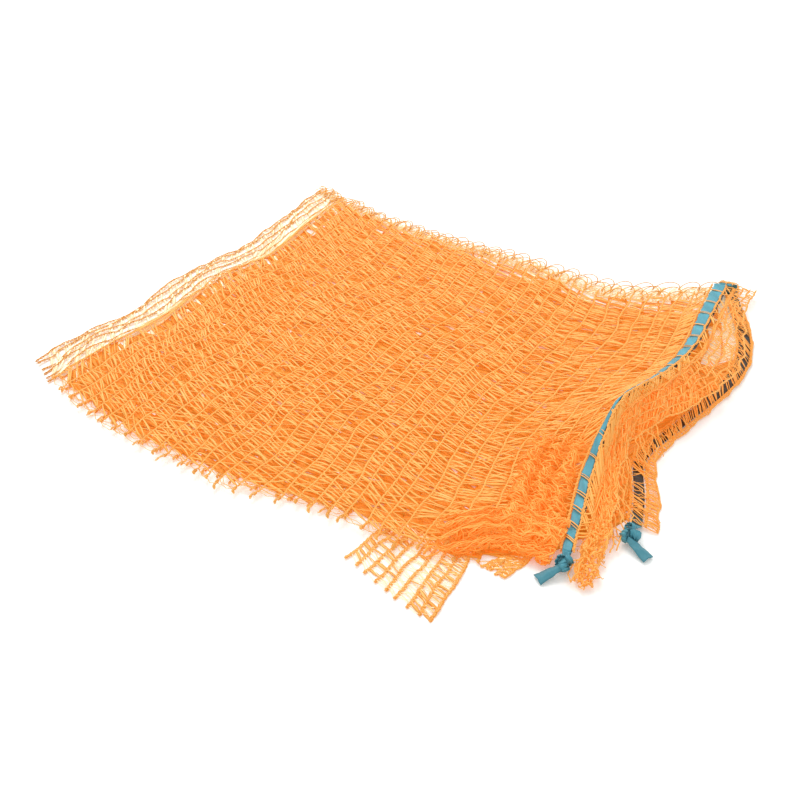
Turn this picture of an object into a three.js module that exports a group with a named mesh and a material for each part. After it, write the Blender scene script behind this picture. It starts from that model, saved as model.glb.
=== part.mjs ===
// A raschel-knit produce bag, lying empty with its front layer rucked up along the drawstring.
// Millimetres. +X runs from the bag's bottom to its mouth, +Y from the cut side to the side seam, +Z up.
// The knit is drawn as thin slabs that follow the cloth, and the drawstring as a creased film tape.

import * as THREE from 'three';

// ---- The bag as cut ----
const bagLength = 325;            // bottom edge to the drawstring
const bagWidth = 300;             // cut side to side seam
const knitThickness = 1.2;        // one layer of knit, pressed
const selvedgeWidth = 26;         // close wales that join the layers along the bottom
const seamWidth = 6;              // looped seam along the far side
const tipLength = 8;              // cut wale ends past the last full course
const walePitch = 10.4;           // wale to wale
const waleWidth = 1.6;            // one pillar chain
const waleThickness = 1.4;
const backHeaderWidth = 4.5;      // knit past the back tunnel, where it isn't tucked under
const tuckedHeaderWidth = 1.2;     // and where it is
const flapWales = 9;              // wales of the back layer that stick out as a flap
const flapWalePitch = 6.1;        // they are drawn together there
const flapReach = 36;             // how far they stick out past the back layer's cut side
const flapToMouth = 31;           // flap to the drawstring
const smallFlapReach = 12;
const smallFlapGap = 8;           // between the two flaps
const cornerLength = 24;          // far corner, where the two headers meet
const cornerHeight = 3;
const bunchLength = 30;           // frayed near end of the front header
const bunchWidth = 9;
const bunchHeight = 3.3;
const frontRunInset = 4;          // near end of the front run of the drawstring, in from the cut side
const backRunInset = 40;          // near end of the back run, in from the cut side
const farRunInset = 11.5;         // far end of both runs, in from the side seam
const headerInset = 20;           // near end of the front header, in from the cut side
const headerFarInset = 30;        // far end of both headers, in from the side seam

// ---- The drawstring ----
const tapeThickness = 0.6;
const tapeBagSide = 6;            // front run: crease to the edge on the bag's side
const tapeMouthSide = 4.5;        // front run: crease to the edge on the mouth's side
const tapeFoldedWidth = 6;        // back run, where the tape lies folded on itself
const tailWidth = 6;
const frontTailLength = 9;
const backTailLength = 8;
const knotLength = 12;
const knotWidth = 9;
const knotHeight = 7;
const knotLift = 0.8;             // the tape holds each knot this far off the surface
const foldOut = 7;                // how far the tape's fold stands out past the far side

// ---- How the cloth lies ----
const layerSpace = 2;             // air between the layers where the bag lies flat
const ridgeHeight = 26;           // how far the front layer stands up at its highest ruck
const ridgeReach = 22;            // distance over which the ruck falls away into the bag
const rumpleHeight = 0.8;         // shallow waves over the front layer
const rumpleLength = 15;          // their spacing along the bag and across it, over a full turn
const rumpleWidth = 21;
const moundHeight = 5;            // soft mound where the front layer's cut side is pushed back
const moundLength = 24;
const moundWidth = 20;
const moundToMouth = 44;          // middle of the mound to the drawstring
const moundInset = 2;             // middle of the mound, in from the cut side
const pieceGap = 0.4;             // air between one piece and the next
const edgeGap = 1.6;              // the same along the wandering edges of the panels

// A smooth curve through hand-set pairs of place and value, level past both ends.
function smooth(pairs) {
  const places = pairs.map((pair) => pair[0]);
  const values = pairs.map((pair) => pair[1]);
  const curve = new THREE.CubicInterpolant(places, values, 1, new Float64Array(1));
  const first = places[0];
  const last = places[places.length - 1];
  return (at) => curve.evaluate(THREE.MathUtils.clamp(at, first, last))[0];
}

const { lerp } = THREE.MathUtils;
const alongBag = (x) => x / bagLength + 0.5;    // 0 at the bottom edge, 1 at the drawstring
const acrossBag = (y) => y / bagWidth + 0.5;    // 0 at the cut side, 1 at the side seam

// Offsets of each edge from the flat rectangle that the bag was cut to.
const bottomOffset = smooth([
  [0, -3], [0.12, -4], [0.22, 4], [0.35, 1], [0.46, -2], [0.6, 7], [0.76, 3], [0.9, -2], [1, -3],
]);
const farOffset = smooth([
  [0, 3], [0.08, -5], [0.19, -19], [0.35, -28], [0.6, -32], [0.8, -38], [0.87, -30], [0.94, -13], [1, -6],
]);
const frontNearOffset = smooth([
  [0, 2], [0.04, -8], [0.2, -24], [0.4, -33], [0.55, -34], [0.66, -26], [0.82, -27], [0.9, -8], [0.96, 6], [1, 3],
]);
const backNearOffset = smooth([
  [0, 4], [0.04, -5], [0.2, -20], [0.4, -28], [0.6, -26], [0.72, -21], [0.92, -19], [0.98, -4], [1.04, 28],
  [1.08, 48],
]);
const bottomX = (y) => -bagLength / 2 + bottomOffset(acrossBag(y));
const farY = (x) => bagWidth / 2 + farOffset(alongBag(x));
const frontNearY = (x) => -bagWidth / 2 + frontNearOffset(alongBag(x));
const backNearY = (x) => -bagWidth / 2 + backNearOffset(alongBag(x));

// The crease of the front run of the drawstring: where it lies and how high it stands.
const creaseOffset = smooth([
  [0, 5], [0.09, 0], [0.17, -5], [0.3, -7.5], [0.46, 1.5], [0.64, 6], [0.8, 3.5], [1, 1],
]);
const ridgeShare = smooth([
  [0, 0.03], [0.1, 0.13], [0.18, 0.34], [0.25, 0.76], [0.3, 1], [0.36, 0.93], [0.46, 0.71], [0.64, 0.4],
  [0.87, 0.15], [1, 0.08],
]);
const creaseX = (y) => bagLength / 2 + creaseOffset(acrossBag(y));
const ridge = (y) => ridgeHeight * ridgeShare(acrossBag(y));
const frontBed = knitThickness + layerSpace + knitThickness / 2;

// Height of the middle of the front layer, from the bottom of the bag up to the crease.
function frontZ(x, y) {
  const ruck = ridge(y) * Math.exp((x - creaseX(y)) / ridgeReach);
  const wave = rumpleHeight * Math.sin(x / rumpleLength + 1) * Math.sin(y / rumpleWidth);
  const moundAlong = (x - bagLength / 2 + moundToMouth) / moundLength;
  const moundAcross = (y + bagWidth / 2 - moundInset) / moundWidth;
  const mound = moundHeight * Math.exp(-(moundAlong ** 2) - moundAcross ** 2);
  return frontBed + ruck + wave + mound;
}

// A point on the front layer at a distance from the crease, measured down the slope into the bag.
function bagSide(y, distance) {
  const slope = (ridge(y) / ridgeReach) * Math.exp(-distance / 2 / ridgeReach);
  const x = creaseX(y) - distance / Math.hypot(1, slope);
  return new THREE.Vector3(x, y, frontZ(x, y));
}

// The frill past the crease hangs towards its outer edge, which stands clear of the back layer.
const frillReach = smooth([
  [0, 13], [0.12, 15], [0.27, 11], [0.4, 18], [0.52, 25], [0.62, 28], [0.75, 24], [0.84, 19], [1, 15],
]);
const frillEdgeZ = smooth([
  [0, 5], [0.12, 6.5], [0.25, 11], [0.32, 13], [0.42, 11], [0.55, 9.5], [0.75, 7], [1, 5],
]);

// A point past the crease, measured down the frill.
function mouthSide(y, distance) {
  const crease = new THREE.Vector3(creaseX(y), y, frontZ(creaseX(y), y));
  const edge = new THREE.Vector3(creaseX(y) + frillReach(acrossBag(y)), y, frillEdgeZ(acrossBag(y)));
  return crease.addScaledVector(edge.sub(crease).normalize(), distance);
}
const frillWidth = (y) => {
  const drop = frontZ(creaseX(y), y) - frillEdgeZ(acrossBag(y));
  return Math.hypot(frillReach(acrossBag(y)), drop);
};

// A point of the front run's line: negative distances run into the bag, positive ones to the mouth.
const beside = (y, distance) => (distance < 0 ? bagSide(y, -distance) : mouthSide(y, distance));

// The back run of the drawstring: the middle of the folded tape on the back layer.
const backTapeOffset = smooth([
  [0.12, 24], [0.2, 18], [0.29, 9.5], [0.41, 17], [0.53, 26], [0.62, 31.5], [0.7, 32], [0.8, 25.5], [0.87, 17.5],
  [0.93, 10], [1, 1],
]);
const backTapeX = (y) => bagLength / 2 + backTapeOffset(acrossBag(y));

// ---- Making a pliable slab ----
// A box of cells whose corners move to place(u, v, w), each from 0 to 1, along X, Y and Z.
function slab(cellsU, cellsV, place) {
  const geometry = new THREE.BoxGeometry(1, 1, 1, cellsU, cellsV, 1);
  const position = geometry.attributes.position;
  for (let i = 0; i < position.count; i += 1) {
    const u = Math.round((position.getX(i) + 0.5) * cellsU) / cellsU;
    const v = Math.round((position.getY(i) + 0.5) * cellsV) / cellsV;
    const w = Math.round(position.getZ(i) + 0.5);
    const point = place(u, v, w);
    position.setXYZ(i, point.x, point.y, point.z);
  }
  geometry.computeVertexNormals();
  return geometry;
}

// The cloth between four edges. startX and endX take y; nearY and farY take x.
function clothPoint(u, v, startX, endX, nearY, endY) {
  let x = 0;
  let y = lerp(-bagWidth / 2, bagWidth / 2, v);
  for (let pass = 0; pass < 6; pass += 1) {
    x = lerp(startX(y), endX(y), u);
    y = lerp(nearY(x), endY(x), v);
  }
  return new THREE.Vector3(x, y, 0);
}

// ---- Materials ----
const knit = (colour) => new THREE.MeshStandardMaterial({ color: colour, roughness: 0.55, metalness: 0 });
const orangeKnit = knit(0xff9a45);
const deepOrangeKnit = knit(0xff7a26);
const seamThread = knit(0xf3a45e);
const tealTape = new THREE.MeshStandardMaterial({ color: 0x3f97ab, roughness: 0.4, metalness: 0 });

const bag = new THREE.Group();
function add(name, geometry, material) {
  const mesh = new THREE.Mesh(geometry, material);
  mesh.name = name;
  bag.add(mesh);
}

// ---- Bottom selvedge: both layers knitted together ----
const selvedgeEndX = (y) => bottomX(y) + selvedgeWidth;
const selvedgeNearY = (x) => Math.max(frontNearY(x), backNearY(x));
add('bottom_selvedge', slab(3, 32, (u, v, w) => {
  const point = clothPoint(u, v, bottomX, selvedgeEndX, selvedgeNearY, farY);
  point.z = w * lerp(2 * knitThickness, 2 * knitThickness + layerSpace / 2, u);
  return point;
}), orangeKnit);

// ---- Side seam: loops of thread that join the layers along the far side ----
const panelStartX = (y) => selvedgeEndX(y) + pieceGap;
const frontPanelEndX = (y) => bagSide(y, tapeBagSide + waleWidth + pieceGap + edgeGap).x;
const seamInnerY = (x) => farY(x) - seamWidth;
add('side_seam', slab(36, 1, (u, v, w) => {
  const point = clothPoint(u, v, panelStartX, frontPanelEndX, seamInnerY, farY);
  const top = lerp(frontZ(point.x, point.y) + knitThickness / 2, 2 * knitThickness, v);
  point.z = top * w;
  return point;
}), seamThread);

// ---- Panels ----
const panelFarY = (x) => farY(x) - seamWidth - edgeGap;
const frontPanelNearY = (x) => frontNearY(x) + tipLength + edgeGap;
add('front_panel', slab(30, 26, (u, v, w) => {
  const point = clothPoint(u, v, panelStartX, frontPanelEndX, frontPanelNearY, panelFarY);
  point.z = frontZ(point.x, point.y) + (w - 0.5) * knitThickness;
  return point;
}), orangeKnit);

const backTunnelHalf = tapeFoldedWidth / 2 + pieceGap;
const backPanelEndX = (y) => backTapeX(y) - backTunnelHalf - waleWidth - edgeGap;
const backPanelNearY = (x) => backNearY(x) + tipLength + edgeGap;
add('back_panel', slab(26, 26, (u, v, w) => {
  const point = clothPoint(u, v, panelStartX, backPanelEndX, backPanelNearY, panelFarY);
  point.z = w * knitThickness;
  return point;
}), deepOrangeKnit);

// ---- Cut wale tips along the near side, a comb with one tooth to each wale ----
const tooth = (x) => 0.5 + 0.5 * Math.cos((2 * Math.PI * x) / walePitch);
const cellsPerWale = 4;
const tipTaper = 0.6;             // how much of a tip's length is tooth
function tips(startX, endX, edgeY, height) {
  const middleY = -bagWidth / 2;
  const cells = Math.round((endX(middleY) - startX(middleY)) / walePitch) * cellsPerWale;
  return slab(cells, 1, (u, v, w) => {
    const outerY = (x) => edgeY(x) + tipLength * tipTaper * (1 - tooth(x));
    const point = clothPoint(u, v, startX, endX, outerY, (x) => edgeY(x) + tipLength);
    point.z = height(point.x, point.y, w);
    return point;
  });
}
const tipDroop = 1.2;
add('front_wale_tips', tips(panelStartX, frontPanelEndX, frontNearY, (x, y, w) => {
  const droop = tipDroop * THREE.MathUtils.smoothstep(frontNearY(x) + tipLength - y, 0, tipLength);
  return frontZ(x, y) - droop + (w - 0.5) * knitThickness;
}), orangeKnit);
add('back_wale_tips', tips(panelStartX, backPanelEndX, backNearY, (x, y, w) => w * knitThickness), deepOrangeKnit);

// ---- Flaps: runs of back-layer wales that stick out past the cut side ----
const flapSkew = 2;
const flapToothDepth = 3;
const flapShortSide = 0.62;       // reach of the side away from the mouth, as a share of the other
function flap(firstX, wales, reach) {
  const lastX = firstX + wales * flapWalePitch;
  return slab(wales * cellsPerWale, 1, (u, v, w) => {
    const rootX = lerp(firstX, lastX, u);
    const rootY = backNearY(rootX) - edgeGap;
    const notch = flapToothDepth * (0.5 - 0.5 * Math.cos(2 * Math.PI * wales * u));
    const tipY = rootY - reach * lerp(flapShortSide, 1, u) + notch;
    return new THREE.Vector3(rootX + flapSkew * (1 - v), lerp(tipY, rootY, v), w * knitThickness);
  });
}
const flapEndX = bagLength / 2 - flapToMouth;
add('back_flap', flap(flapEndX - flapWales * flapWalePitch, flapWales, flapReach), deepOrangeKnit);
add('small_back_flap', flap(flapEndX + smallFlapGap, 1, smallFlapReach), deepOrangeKnit);

// ---- Front tunnel, drawstring and header ----
// A ribbon along the front crease between two distances from it. One that crosses the crease is
// folded on it, so its cells are shared out evenly on each side.
const ribbonCells = 40;
const mouthNear = -bagWidth / 2 + frontRunInset;
const mouthFar = bagWidth / 2 - farRunInset;
function creaseRibbon(from, to, thickness, cellsAcross, nearY = mouthNear, endY = mouthFar) {
  return slab(cellsAcross, ribbonCells, (u, v, w) => {
    const y = lerp(nearY, endY, v);
    const crosses = from < 0 && to(y) > 0;
    const folded = u < 0.5 ? from * (1 - 2 * u) : to(y) * (2 * u - 1);
    const distance = crosses ? folded : lerp(from, to(y), u);
    const point = beside(y, distance);
    const step = beside(y, distance + 0.5).sub(beside(y, distance - 0.5)).normalize();
    const outward = new THREE.Vector3(-step.z, 0, step.x);
    return point.addScaledVector(outward, (w - 0.5) * thickness);
  });
}
const fixed = (distance) => () => distance;
const bagSideWale = -tapeBagSide - pieceGap;
const mouthSideWale = tapeMouthSide + pieceGap;
add('front_tunnel_wale_bag_side',
  creaseRibbon(bagSideWale - waleWidth, fixed(bagSideWale), waleThickness, 1), orangeKnit);
add('front_tunnel_wale_mouth_side',
  creaseRibbon(mouthSideWale, fixed(mouthSideWale + waleWidth), waleThickness, 1), orangeKnit);
add('drawstring_front_run',
  creaseRibbon(-tapeBagSide, fixed(tapeMouthSide), tapeThickness, 4), tealTape);

const headerStart = mouthSideWale + waleWidth + pieceGap;
const headerNear = -bagWidth / 2 + headerInset;
const headerFar = bagWidth / 2 - headerFarInset;
add('front_header',
  creaseRibbon(headerStart, frillWidth, knitThickness, 3, headerNear, headerFar), orangeKnit);

// ---- Back tunnel, drawstring and header, flat on the surface ----
const backMouthNear = -bagWidth / 2 + backRunInset;
function backRibbon(from, to, low, high, endY = mouthFar) {
  return slab(1, ribbonCells, (u, v, w) => {
    const y = lerp(backMouthNear, endY, v);
    return new THREE.Vector3(backTapeX(y) + lerp(from, to(y), u), y, lerp(low, high, w));
  });
}
const backTapeBottom = 0.5;
const backTapeTop = backTapeBottom + tapeThickness;
add('back_tunnel_wale_bag_side',
  backRibbon(-backTunnelHalf - waleWidth, fixed(-backTunnelHalf), 0, waleThickness), deepOrangeKnit);
add('back_tunnel_wale_mouth_side',
  backRibbon(backTunnelHalf, fixed(backTunnelHalf + waleWidth), 0, waleThickness, headerFar), deepOrangeKnit);
add('drawstring_back_run',
  backRibbon(-tapeFoldedWidth / 2, fixed(tapeFoldedWidth / 2), backTapeBottom, backTapeTop), tealTape);
const backHeaderStart = backTunnelHalf + waleWidth + pieceGap;
const tuckedShare = smooth([[0.24, 0], [0.34, 0.9], [0.5, 1]]);
const backHeaderEnd = (y) => (
  backHeaderStart + lerp(backHeaderWidth, tuckedHeaderWidth, tuckedShare(acrossBag(y)))
);
add('back_header', backRibbon(backHeaderStart, backHeaderEnd, 0, knitThickness, headerFar), deepOrangeKnit);

// ---- The drawstring's fold round the far mouth corner ----
const foldStart = beside(mouthFar, (tapeMouthSide - tapeBagSide) / 2);
const foldEnd = new THREE.Vector3(backTapeX(mouthFar), mouthFar, backTapeBottom + tapeThickness / 2);
add('drawstring_far_fold', slab(1, 14, (u, v, w) => {
  const turn = Math.PI * v;
  const middle = foldStart.clone().lerp(foldEnd, (1 - Math.cos(turn)) / 2);
  middle.y += pieceGap + foldOut * Math.sin(turn);
  const halfWidth = lerp(tapeBagSide + tapeMouthSide, tapeFoldedWidth, v) / 2;
  const inward = new THREE.Vector3(0, -Math.sin(turn), -Math.cos(turn));
  middle.x += lerp(-halfWidth, halfWidth, u);
  return middle.addScaledVector(inward, (0.5 - w) * tapeThickness);
}), tealTape);

// ---- The corner where both headers meet, on top of the back header ----
const cornerInset = headerStart + 2;
const cornerOverhang = 4;         // how far the corner reaches past the front header's edge
add('far_corner_knit', slab(3, 6, (u, v, w) => {
  const y = headerFar + pieceGap + cornerLength * v;
  const inner = mouthSide(y, cornerInset).x;
  const outer = creaseX(y) + frillReach(acrossBag(y)) + cornerOverhang * (1 - v * v);
  const bottom = waleThickness + pieceGap;
  return new THREE.Vector3(lerp(inner, outer, u), y, lerp(bottom, bottom + cornerHeight, w));
}), orangeKnit);

// ---- Frayed bunch at the near end of the front header ----
const bunchSwing = 1;             // how far its free end lies towards the mouth
const bunchBottom = waleThickness + pieceGap;
add('front_header_bunch', slab(3, 6, (u, v, w) => {
  const y = headerNear - pieceGap - bunchLength * (1 - v);
  const x = creaseX(y) + headerStart + bunchWidth * u + bunchSwing * (1 - v);
  const height = bunchHeight * lerp(0.5, 1, v);
  return new THREE.Vector3(x, y, bunchBottom + height * w);
}), orangeKnit);

// ---- Knots and tails: the tape is tied on itself and cut off short ----
const knotLobes = 3;
const knotLobeDepth = 0.09;
function knot(centre, heading) {
  const geometry = new THREE.SphereGeometry(0.5, 18, 12);
  geometry.scale(knotWidth, knotLength, knotHeight);
  const position = geometry.attributes.position;
  for (let i = 0; i < position.count; i += 1) {
    const twist = (position.getY(i) / knotLength) * Math.PI;
    const around = Math.atan2(position.getZ(i), position.getX(i));
    const lobe = 1 + knotLobeDepth * Math.cos(knotLobes * (around + twist));
    position.setX(i, position.getX(i) * lobe);
    position.setZ(i, position.getZ(i) * lobe);
  }
  geometry.rotateZ(heading);
  geometry.translate(centre.x, centre.y, centre.z);
  return geometry;
}
const tailThickness = 2 * tapeThickness;
function tail(centre, heading, angle, length) {
  const turn = angle - heading;
  const knotReach = 1 / Math.hypot(Math.sin(turn) / (knotWidth / 2), Math.cos(turn) / (knotLength / 2));
  const start = knotReach * (1 + knotLobeDepth) + pieceGap;
  return slab(1, 8, (u, v, w) => {
    const run = start + length * (1 - v);
    const across = lerp(-tailWidth / 2, tailWidth / 2, u);
    const x = centre.x + Math.sin(angle) * run + Math.cos(angle) * across;
    const y = centre.y - Math.cos(angle) * run + Math.sin(angle) * across;
    const middle = lerp(centre.z, tailThickness / 2, THREE.MathUtils.smoothstep(1 - v, 0, 1));
    return new THREE.Vector3(x, y, middle + (w - 0.5) * tailThickness);
  });
}
const knotZ = knotLift + knotHeight / 2;
const frontHeading = 0.05;
const frontTailHeading = -0.28;
const frontKnotY = mouthNear - pieceGap - knotLength / 2;
const frontKnot = new THREE.Vector3(beside(mouthNear, (tapeMouthSide - tapeBagSide) / 2).x, frontKnotY, knotZ);
add('front_knot', knot(frontKnot, frontHeading), tealTape);
add('front_tail', tail(frontKnot, frontHeading, frontTailHeading, frontTailLength), tealTape);

const backHeading = 0.12;
const backTailHeading = 0.95;
const backKnotY = backMouthNear - pieceGap - knotLength / 2;
const backKnot = new THREE.Vector3(backTapeX(backMouthNear), backKnotY, knotZ);
add('back_knot', knot(backKnot, backHeading), tealTape);
add('back_tail', tail(backKnot, backHeading, backTailHeading, backTailLength), tealTape);

// ---- The origin is at the middle of the footprint, on the surface the bag lies on ----
const size = new THREE.Box3().setFromObject(bag);
bag.position.set(-(size.min.x + size.max.x) / 2, -(size.min.y + size.max.y) / 2, -size.min.z);

export default bag;
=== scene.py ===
"""A raschel-knit produce bag with a film-tape drawstring, lying empty on a pale surface."""
import math

import bpy
import numpy as np
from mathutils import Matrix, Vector
from mathutils.bvhtree import BVHTree


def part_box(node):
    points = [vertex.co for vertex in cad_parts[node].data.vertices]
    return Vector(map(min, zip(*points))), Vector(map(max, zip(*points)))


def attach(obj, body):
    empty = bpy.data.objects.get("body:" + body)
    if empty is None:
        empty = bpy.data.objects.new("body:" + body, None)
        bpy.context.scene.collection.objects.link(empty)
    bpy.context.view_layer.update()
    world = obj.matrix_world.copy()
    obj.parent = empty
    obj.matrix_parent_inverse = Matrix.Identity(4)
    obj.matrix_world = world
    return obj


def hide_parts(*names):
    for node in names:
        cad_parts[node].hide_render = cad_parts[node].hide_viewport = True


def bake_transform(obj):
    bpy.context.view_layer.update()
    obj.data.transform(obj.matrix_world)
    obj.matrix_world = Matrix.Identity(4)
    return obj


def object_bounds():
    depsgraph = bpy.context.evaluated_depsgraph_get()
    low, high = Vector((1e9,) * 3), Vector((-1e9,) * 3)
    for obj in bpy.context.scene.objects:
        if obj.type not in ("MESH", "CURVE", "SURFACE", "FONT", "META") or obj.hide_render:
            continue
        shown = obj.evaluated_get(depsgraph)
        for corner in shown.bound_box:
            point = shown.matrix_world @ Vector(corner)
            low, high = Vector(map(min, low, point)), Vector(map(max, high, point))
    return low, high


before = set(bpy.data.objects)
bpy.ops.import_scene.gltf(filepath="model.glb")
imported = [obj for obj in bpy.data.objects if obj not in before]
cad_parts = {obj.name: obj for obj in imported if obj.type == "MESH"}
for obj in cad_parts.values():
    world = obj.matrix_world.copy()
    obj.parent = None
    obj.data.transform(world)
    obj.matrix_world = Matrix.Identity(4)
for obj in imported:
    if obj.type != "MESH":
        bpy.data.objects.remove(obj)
cad_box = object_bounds()
mm = 0.001

# ---- Camera, lamps and table ----
# The bag lies on a white table in a white room. The camera looks down on it from the near side, turned
# towards its mouth. The room lights it from all round, and one broad soft lamp stands over its far side.
view_aim = Vector((22, -48, 0)) * mm
view_distance = 512 * mm
view_down = math.radians(35)
view_turn = math.radians(30)


def placed(name, data):
    thing = bpy.data.objects.new(name, data)
    bpy.context.scene.collection.objects.link(thing)
    return thing


camera = placed("camera", bpy.data.cameras.new("camera"))
camera.data.sensor_width = 36
camera.data.lens = 41.5
camera.data.clip_start = 0.01
level = math.cos(view_down)
toward_camera = Vector((math.sin(view_turn) * level, -math.cos(view_turn) * level, math.sin(view_down)))
camera.location = view_aim + toward_camera * view_distance
camera.rotation_euler = (math.pi / 2 - view_down, 0, view_turn)
bpy.context.scene.camera = camera
bpy.context.scene.view_settings.view_transform = "Standard"


def maths(tree, operation, *values):
    """The result of a Math node. Its values are numbers or the outputs of other nodes."""
    node = tree.nodes.new("ShaderNodeMath")
    node.operation = operation
    for socket, value in zip(node.inputs, values):
        if isinstance(value, float):
            socket.default_value = value
        else:
            tree.links.new(value, socket)
    return node.outputs[0]


def seen_rays(tree):
    """1 for rays that show a surface to the camera, straight or in something shiny or clear, otherwise 0."""
    rays = tree.nodes.new("ShaderNodeLightPath").outputs
    straight_or_shiny = maths(tree, "MAXIMUM", rays["Is Camera Ray"], rays["Is Glossy Ray"])
    return maths(tree, "MAXIMUM", straight_or_shiny, rays["Is Transmission Ray"])


room_fill = 0.82  # light that the room casts on the bag, where it looks 1 itself
room = bpy.data.worlds.new("white room")
bpy.context.scene.world = room
room.use_nodes = True
room_light = room.node_tree.nodes["Background"]
room_light.inputs["Color"].default_value = (0.96, 0.98, 1.0, 1)
room_glow = room.node_tree.nodes.new("ShaderNodeMapRange")
room_glow.inputs["To Min"].default_value = room_fill
room_glow.inputs["To Max"].default_value = 1.0
room.node_tree.links.new(seen_rays(room.node_tree), room_glow.inputs["Value"])
room.node_tree.links.new(room_glow.outputs[0], room_light.inputs["Strength"])

softbox = bpy.data.lights.new("softbox", "AREA")
softbox.shape = "DISK"
softbox.size = 0.9
softbox.energy = 9.5
softbox.color = (1.0, 0.98, 0.95)
softbox_stand = placed("softbox", softbox)
softbox_stand.location = (-0.55, 0.5, 1.1)
softbox_stand.rotation_euler = (-softbox_stand.location).to_track_quat("-Z", "Y").to_euler()

half = 3.0  # metres from the table's middle to its edges
table_glow = 0.16  # light of its own that makes the table look as pale as the room
table_mesh = bpy.data.meshes.new("table")
table_corners = [(-half, -half, 0), (half, -half, 0), (half, half, 0), (-half, half, 0)]
table_mesh.from_pydata(table_corners, [], [(0, 1, 2, 3)])
table = placed("table", table_mesh)
table_paint = bpy.data.materials.new("white table")
table_paint.use_nodes = True
table_tree = table_paint.node_tree
table_shader = table_tree.nodes["Principled BSDF"]
table_shader.inputs["Base Color"].default_value = (0.96, 0.955, 0.935, 1)
table_shader.inputs["Roughness"].default_value = 0.9
table_shader.inputs["Emission Color"].default_value = (0.97, 1.0, 0.93, 1)
glow = maths(table_tree, "MULTIPLY", seen_rays(table_tree), table_glow)
table_tree.links.new(glow, table_shader.inputs["Emission Strength"])
table.data.materials.append(table_paint)

# ---- How the two layers lie ----
# The bag is a flat tube of knit cut from the roll, so its outline, the ruck along the drawstring and the hang
# of the frill are read off the frame's own solids. Every yarn is then laid along them.


def node_points(node):
    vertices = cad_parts[node].data.vertices
    points = np.empty(len(vertices) * 3)
    vertices.foreach_get("co", points)
    return points.reshape(-1, 3)


def outline(node, along, side, step=12 * mm):
    """The node's edge on one side, as a function of the place along an axis (0 is X, 1 is Y)."""
    points = node_points(node)
    bins = np.floor(points[:, along] / step)
    edge = [points[bins == b][np.argmax(side * points[bins == b][:, 1 - along])] for b in np.unique(bins)]
    edge = np.array(sorted(edge, key=lambda point: point[along]))
    return lambda at: np.interp(at, edge[:, along], edge[:, 1 - along])


def row_line(node, pick):
    """One point from each row of vertices that runs across a tape, from its near end to its far one."""
    points = node_points(node)
    places = np.unique(np.round(points[:, 1], 5))
    return np.array([pick(points[np.abs(points[:, 1] - y) < 0.02 * mm]) for y in places])


def highest(row):
    return row[row[:, 2].argmax()]


def nearest_mouth(row):
    return row[row[:, 0].argmax()]


def nearest_bottom(row):
    return row[row[:, 0].argmin()]


def middle(row):
    return row.mean(0)


def stacked(*parts):
    """Arrays, mostly of x, y and z, put together as the last axis of one array."""
    return np.stack(parts, axis=-1)


def evened(line, count, blur=5):
    """A line of points laid out again in a number of even steps, with its corners rounded."""
    at = np.linspace(0, len(line) - 1, count)
    fine = stacked(*(np.interp(at, np.arange(len(line)), column) for column in line.T))
    window = np.hanning(2 * blur + 3)[1:-1]
    padded = np.pad(fine, ((blur, blur), (0, 0)), mode="reflect", reflect_type="odd")
    return stacked(*(np.convolve(column, window / window.sum(), mode="valid") for column in padded.T))


crease = row_line("drawstring_front_run", highest)
crease[0, 0] = 2 * crease[1, 0] - crease[2, 0]  # the end rows are level, so the crest carries on to them
crease[-1, 0] = 2 * crease[-2, 0] - crease[-3, 0]
frill_edge = row_line("front_header", nearest_mouth)
back_tape = row_line("drawstring_back_run", middle)
selvedge_corner = min(node_points("bottom_selvedge"), key=lambda point: point[0] + point[1])
selvedge_edge_x = outline("bottom_selvedge", along=1, side=-1)
panel_corner = min(node_points("front_panel"), key=lambda point: point[0] + point[1])
panel_edge_x = outline("front_panel", along=1, side=-1)
far_y = outline("side_seam", along=0, side=1)
front_near_y = outline("front_wale_tips", along=0, side=-1)
back_near_y = outline("back_wale_tips", along=0, side=-1)


def bottom_x(y):
    return selvedge_edge_x(np.maximum(y, selvedge_corner[1] + 6 * mm))


def panel_start_x(y):
    return panel_edge_x(np.maximum(y, panel_corner[1] + 12 * mm))


def crease_x(y):
    return np.interp(y, crease[:, 1], crease[:, 0])


def lit_share(y):
    """How much of the tape's bag-side half shows: it stands on edge over the highest part of the ruck."""
    along = (y - crease[0][1]) / (crease[-1][1] - crease[0][1])
    height = np.interp(y, crease[:, 1], crease[:, 2])
    return 0.68 + 0.48 * along - 0.56 * ((height - crease[:, 2].min()) / np.ptp(crease[:, 2])) ** 2


# The front layer's top, sampled from above on a grid.
top_nodes = ("front_panel", "side_seam", "front_wale_tips", "bottom_selvedge", "front_tunnel_wale_bag_side",
             "drawstring_front_run")
top_points, top_faces = [], []
for node in top_nodes:
    base = len(top_points)
    top_points.extend(tuple(point) for point in node_points(node))
    top_faces.extend([base + v for v in face.vertices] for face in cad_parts[node].data.polygons)
top = BVHTree.FromPolygons(top_points, top_faces)
low, high = np.array(cad_box)
grid_step = 2.5 * mm
margin = 8 * mm
grid_x = np.arange(low[0] - margin, high[0] + margin, grid_step)
grid_y = np.arange(low[1] - margin, high[1] + margin, grid_step)
top_z = np.empty((len(grid_x), len(grid_y)))
for i, x in enumerate(grid_x):
    for j, y in enumerate(grid_y):
        hit = top.ray_cast(Vector((x, y, 0.1)), Vector((0, 0, -1)))[0]
        top_z[i, j] = (hit or top.find_nearest(Vector((x, y, 5 * mm)))[0]).z


def front_z(x, y):
    """Height of the front layer's top between the samples."""
    u = np.clip((x - grid_x[0]) / grid_step, 0, len(grid_x) - 1.001)
    v = np.clip((y - grid_y[0]) / grid_step, 0, len(grid_y) - 1.001)
    i, j = u.astype(int), v.astype(int)
    u, v = u - i, v - j
    near = top_z[i, j] * (1 - u) + top_z[i + 1, j] * u
    far = top_z[i, j + 1] * (1 - u) + top_z[i + 1, j + 1] * u
    return near * (1 - v) + far * v


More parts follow.
